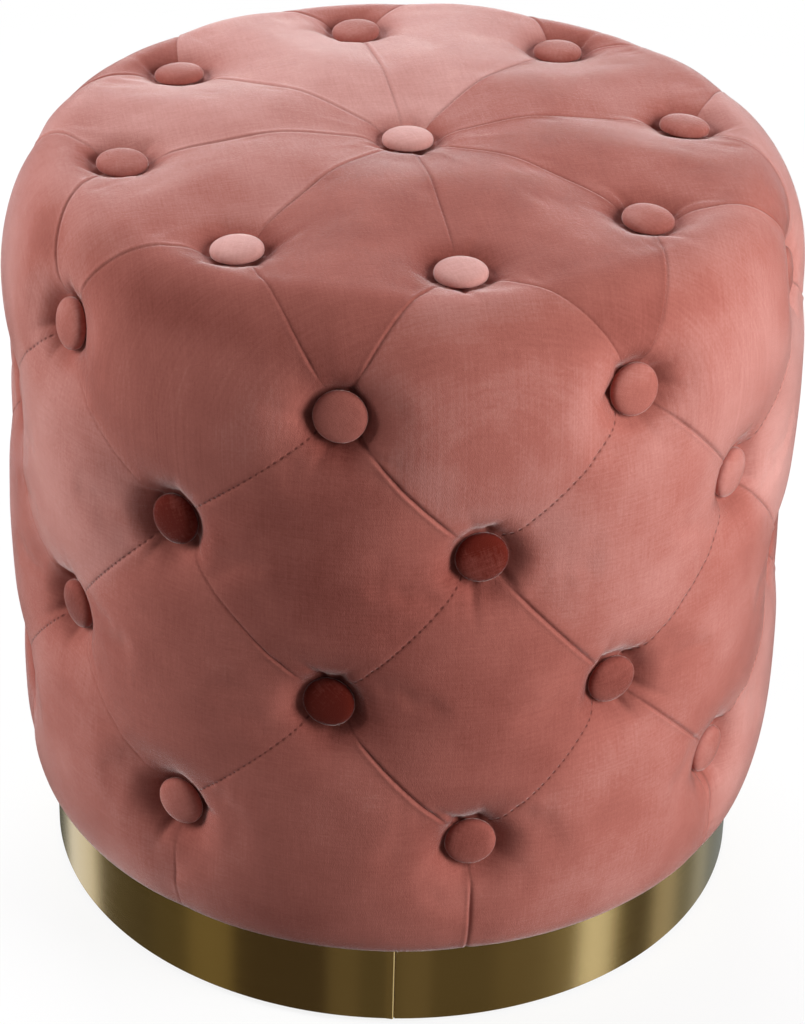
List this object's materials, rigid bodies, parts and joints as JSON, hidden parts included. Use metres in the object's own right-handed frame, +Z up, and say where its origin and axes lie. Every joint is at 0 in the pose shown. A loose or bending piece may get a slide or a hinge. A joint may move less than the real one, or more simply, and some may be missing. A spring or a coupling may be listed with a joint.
{
  "type": "stool",
  "caption": "Round drum stool upholstered in quilted velvet with covered buttons, on a low plinth faced with a brushed brass-coloured steel band.",
  "frame": {"origin": "on the floor under the middle of the stool", "axes": "+Z up; a column of buttons, with the ring's first button, faces -Y; the picture looks from about 12 degrees to the left of -Y and 32 degrees above it"},
  "size_m": [0.39, 0.39, 0.3991],
  "materials": {
    "velvet": "dusty rose velvet, short pile",
    "button_velvet": "dusty rose velvet over a domed button",
    "band_metal": "brass-coloured steel, brushed round the band",
    "board": "raw particle board and thin plywood",
    "softwood": "sawn pine",
    "foam": "open-cell upholstery foam",
    "dust_cloth": "black non-woven cloth",
    "twine": "waxed twine",
    "nylon": "moulded nylon"
  },
  "bodies": {
    "root": {"glides": "nylon", "dust_cover": "dust_cloth", "plinth_ring": "board", "trim_band": "band_metal", "base_board": "board", "frame_posts": "softwood", "seat_board": "board", "drum_wall": "board", "side_foam": "foam", "seat_foam": "foam", "velvet_cover": "velvet", "seat_buttons": "button_velvet", "side_row_1_buttons": "button_velvet", "side_row_2_buttons": "button_velvet", "side_row_3_buttons": "button_velvet", "side_row_4_buttons": "button_velvet", "seat_twines": "twine", "twine_toggles": "nylon"}
  },
  "joints": []
}
